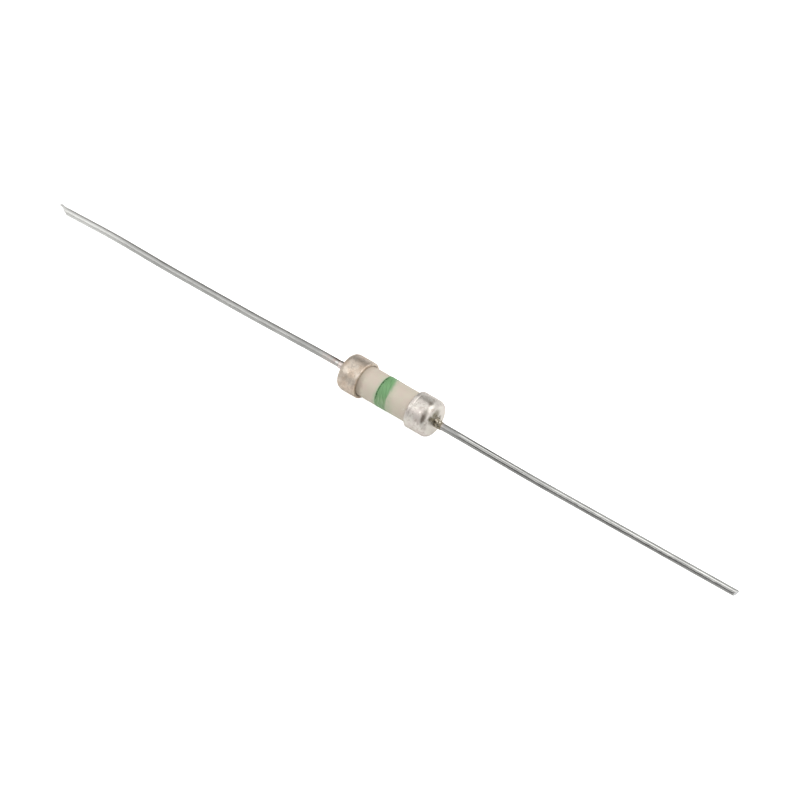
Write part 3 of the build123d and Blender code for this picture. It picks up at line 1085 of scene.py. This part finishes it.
class FUSE_OT_caps(Operator):
    """Makes the two drawn metal end caps"""
    bl_idname = "fuse.caps"
    bl_label = "End caps"

    def outline(self, caps, dip):
        """Half section of a cap, with a groove of this depth behind its lip."""
        radius, rim, end = cap_size()
        wall, bend, hole = caps.wall, caps.corner_radius, caps.lead_hole_radius
        inner, floor, middle = radius - wall, end - wall, (end - bend, radius - bend)
        bevel, lip = caps.rim_round, rim + caps.lip_width
        crest, bottom, shoulder = lip - 0.04 * MM, lip + 0.03 * MM, lip + 0.12 * MM
        return outline_of((end, hole), ((end, radius - bend), 14), (middle, bend, 0.0, 90.0, 16),
                          ((shoulder, radius), 22), ((bottom, radius - dip), 3),
                          ((crest, radius), 3), ((rim + bevel, radius), 5),
                          ((rim + bevel, radius - bevel), bevel, 90.0, 180.0, 8),
                          ((rim, inner), 4), ((end - bend, inner), 24),
                          (middle, bend - wall, 90.0, 0.0, 10), ((floor, hole), 10),
                          ((end, hole), 4))

    def execute(self, context):
        caps, flux = context.scene.fuse_caps, context.scene.fuse_solder.stain_colour
        rim = cap_size()[1]
        for side, way, plating, shift, polish, seed, dip, skew in (
                ("left", -1, "warm_nickel_cap", 2.0, 0.25, 2.0, 0.0, caps.left_rim_skew),
                ("right", 1, "bright_nickel_cap", 14.0, 0.24, 6.0, caps.groove_depth, 0.0)):
            finish = cap_finish(plating, getattr(caps, f"{side}_colour"),
                                getattr(caps, f"{side}_warm"), caps.tarnish_and_dark_reflection, flux, shift, polish,
                                CAP_PATCHES[side])
            y, z = lead_root(side, way)
            outline = [(way * x, r) for x, r in self.outline(caps, dip)]
            piece = turn_piece(
                f"{side}_cap_cup", outline, finish,
                {"Segments": 160, "Wave depth": caps.wave_depth, "Wave size": 1.1 * MM,
                 "Dent depth": caps.dent_depth, "Dent size": 0.35 * MM,
                 "Dent spacing": 0.9 * MM, "Centre Y": y, "Centre Z": z,
                 "Centre reach": 1.1 * MM, "Rim skew": way * skew, "Skew turn": radians(155.0),
                 "Skew start": way * (rim + 1.2 * MM), "Skew end": way * rim, "Seed": seed})
            hand_over(piece, f"{side}_end_cap")
        return {"FINISHED"}


class FUSE_OT_solder(Operator):
    """Makes the two lumpy solder cones where the leads leave the caps"""
    bl_idname = "fuse.solder"
    bl_label = "Solder cones"

    def outline(self, face, reach, base, wire, edge, full):
        """Cone's half section: hollow-sided, or bulging up to this full share of its reach."""
        bulge, hollow, steps = 4, 3.2, 24

        def girth(share):
            return 1.0 - min(1.0, share / full) ** bulge if full else (1.0 - share) ** hollow

        # The foot lies inside the cap, and the inner side inside the wire.
        inner, foot = wire - 0.03 * MM, face - 0.02 * MM
        slope = [(face + edge + (reach - edge) * share, wire + (base - wire) * girth(share))
                 for share in (n / steps for n in range(steps + 1))]
        return [(foot, inner), (foot, base), *slope, (face + reach, inner)]

    def execute(self, context):
        solder, leads = context.scene.fuse_solder, context.scene.fuse_leads
        face = cap_size()[2]
        # The crumbs are so many to a square millimetre.
        for side, way, name, colour, cover, shift, crumbs, full in (
                ("left", -1, "grey_solder", solder.clean_colour, 0.15, 3.0, 2.0, 0.0),
                ("right", 1, "fluxed_solder", solder.colour, 1.0, 8.0, 10.0, 0.74)):
            finish = solder_finish(name, colour, solder, cover, shift, PITS_AND_SHADE[side], GLINT_SPOTS[side])
            low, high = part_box(f"{side}_solder_fillet")
            base, reach = (high.z - low.z) / 2, high.x - low.x - 0.01 * MM
            outline = self.outline(face, reach, base, leads.radius, solder.edge_height, full)
            y, z = lead_root(side, way)
            cone = turn_piece(
                f"{side}_solder_cone", [(way * x, r) for x, r in outline], finish,
                {"Segments": 72, "Wave depth": solder.lump_depth, "Wave size": 0.35 * MM,
                 "Dent depth": solder.lump_depth * 0.4, "Dent size": 0.15 * MM,
                 "Dent spacing": 0.3 * MM, "Centre Y": y, "Centre Z": z,
                 "Core radius": leads.radius, "Skirt wander": 0.5, "Skirt lean": solder.lean,
                 "Lean turn": radians(35.0), "Seed": 4.0 + way})
            piece = grow(f"{side}_solder_lump", "crumbs", cone.data, finish,
                         {"Density": crumbs / MM ** 2, "Crumb size": solder.crumb_size, "Seed": 5})
            bpy.data.objects.remove(cone)
            finish_mesh(piece, 60.0)
            hand_over(piece, f"{side}_solder_fillet")
        return {"FINISHED"}


class FUSE_OT_leads(Operator):
    """Draws the two wire leads along their packed lines"""
    bl_idname = "fuse.leads"
    bl_label = "Wire leads"

    def close_ends(self, piece, long_side):
        """Closes each open end with strips laid across the wire."""
        work = merged_mesh(piece)
        rims = {}
        middle = sum(v.co.x for v in work.verts) / len(work.verts)
        for edge in work.edges:
            if edge.is_boundary:
                rims.setdefault(edge.verts[0].co.x > middle, set()).update(edge.verts)
        up = Vector(long_side)
        across = up.cross(Vector((1.0, 0.0, 0.0)))
        for rim in rims.values():
            centre = sum((v.co for v in rim), Vector()) / len(rim)
            turns = sorted((atan2((v.co - centre).dot(across), (v.co - centre).dot(up)), v.index, v)
                           for v in rim)
            ring = [v for _, _, v in turns]
            half = len(ring) // 2
            for n in range(half):
                strip = [ring[half - n], ring[half - n - 1], ring[(half + n + 1) % len(ring)],
                         ring[(half + n) % len(ring)]]
                corners = list(dict.fromkeys(strip))
                if len(corners) > 2:
                    work.faces.new(corners)
        put_back(work, piece)

    def execute(self, context):
        leads = context.scene.fuse_leads
        long_side = (0.0, cos(leads.bow_turn), sin(leads.bow_turn))
        finish = wire_finish(leads)
        shear = tan(leads.shear_angle)
        cuts = {
            "left": {"Lip height": leads.radius - leads.burr_thickness,
                     "Lip length": leads.burr_length, "Lip lift": leads.burr_lift,
                     "Cut slope": shear},
            "right": {"Lip height": leads.radius, "Cut slope": tan(leads.cut_angle)}}
        for side, way in (("left", -1), ("right", 1)):
            cut_length = leads.burr_length + 2 * leads.radius * shear
            line = centre_line(f"{side}_lead", way, cut_length)
            piece = grow(f"{side}_lead_wire", "drawn_wire",
                         outline_mesh("lead_line", line, closed=False), finish,
                         {"Radius": leads.radius, "Head radius": leads.head_radius,
                          "Head length": leads.head_length, "Long side": long_side,
                          "Edge round": 0.04 * MM, "Wave depth": leads.wave_depth,
                          "Wave size": 0.35 * MM, "Nick depth": leads.nick_depth,
                          "Nick size": 0.25 * MM, "Nick spacing": 2.4 * MM,
                          "Seed": float(leads.seed + way), **cuts[side]})
            self.close_ends(piece, long_side)
            finish_mesh(piece)
            hand_over(piece, f"{side}_lead")
        return {"FINISHED"}


class FUSE_OT_inside(Operator):
    """Gives the sealed-in pieces their metals"""
    bl_idname = "fuse.inside"
    bl_label = "Inner pieces"

    def execute(self, context):
        solder = plain_metal_finish("inner_solder_metal", (0.62, 0.60, 0.56), 0.4)
        element = plain_metal_finish("element_metal", (0.72, 0.68, 0.58), 0.1)
        for node, finish in (("left_inner_solder", solder), ("right_inner_solder", solder),
                             ("fuse_element", element)):
            for material_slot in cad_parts[node].material_slots:
                material_slot.material = finish
        return {"FINISHED"}


SETTINGS = {"fuse_stage": FuseStage, "fuse_tube": FuseTube, "fuse_band": FuseBand,
            "fuse_caps": FuseCaps, "fuse_solder": FuseSolder, "fuse_leads": FuseLeads}
OPERATORS = (FUSE_OT_stage, FUSE_OT_tube, FUSE_OT_band, FUSE_OT_caps, FUSE_OT_solder,
             FUSE_OT_leads, FUSE_OT_inside)


class FUSE_PT_panel(Panel):
    """Sizes, colours and makers of the fuse's pieces"""
    bl_idname = "FUSE_PT_panel"
    bl_label = "Ceramic cartridge fuse"
    bl_space_type = "VIEW_3D"
    bl_region_type = "UI"
    bl_category = "Fuse"

    def draw(self, context):
        for operator in OPERATORS:
            box = self.layout.box()
            box.operator(operator.bl_idname)
            group = getattr(context.scene, operator.bl_idname.replace(".", "_"), None)
            if group is not None:
                for name in group.__annotations__:
                    box.prop(group, name)


CLASSES = (*SETTINGS.values(), *OPERATORS, FUSE_PT_panel)


def register():
    for item in CLASSES:
        bpy.utils.register_class(item)
    for name, group in SETTINGS.items():
        setattr(bpy.types.Scene, name, PointerProperty(type=group))


def unregister():
    for name in SETTINGS:
        delattr(bpy.types.Scene, name)
    for item in reversed(CLASSES):
        bpy.utils.unregister_class(item)


def main():
    register()
    turned_shell_tree()
    drawn_wire_tree()
    crumbs_tree()
    bpy.ops.fuse.stage()
    bpy.ops.fuse.tube()
    bpy.ops.fuse.band()
    bpy.ops.fuse.caps()
    bpy.ops.fuse.solder()
    bpy.ops.fuse.leads()
    bpy.ops.fuse.inside()


if __name__ == "__main__":
    main()
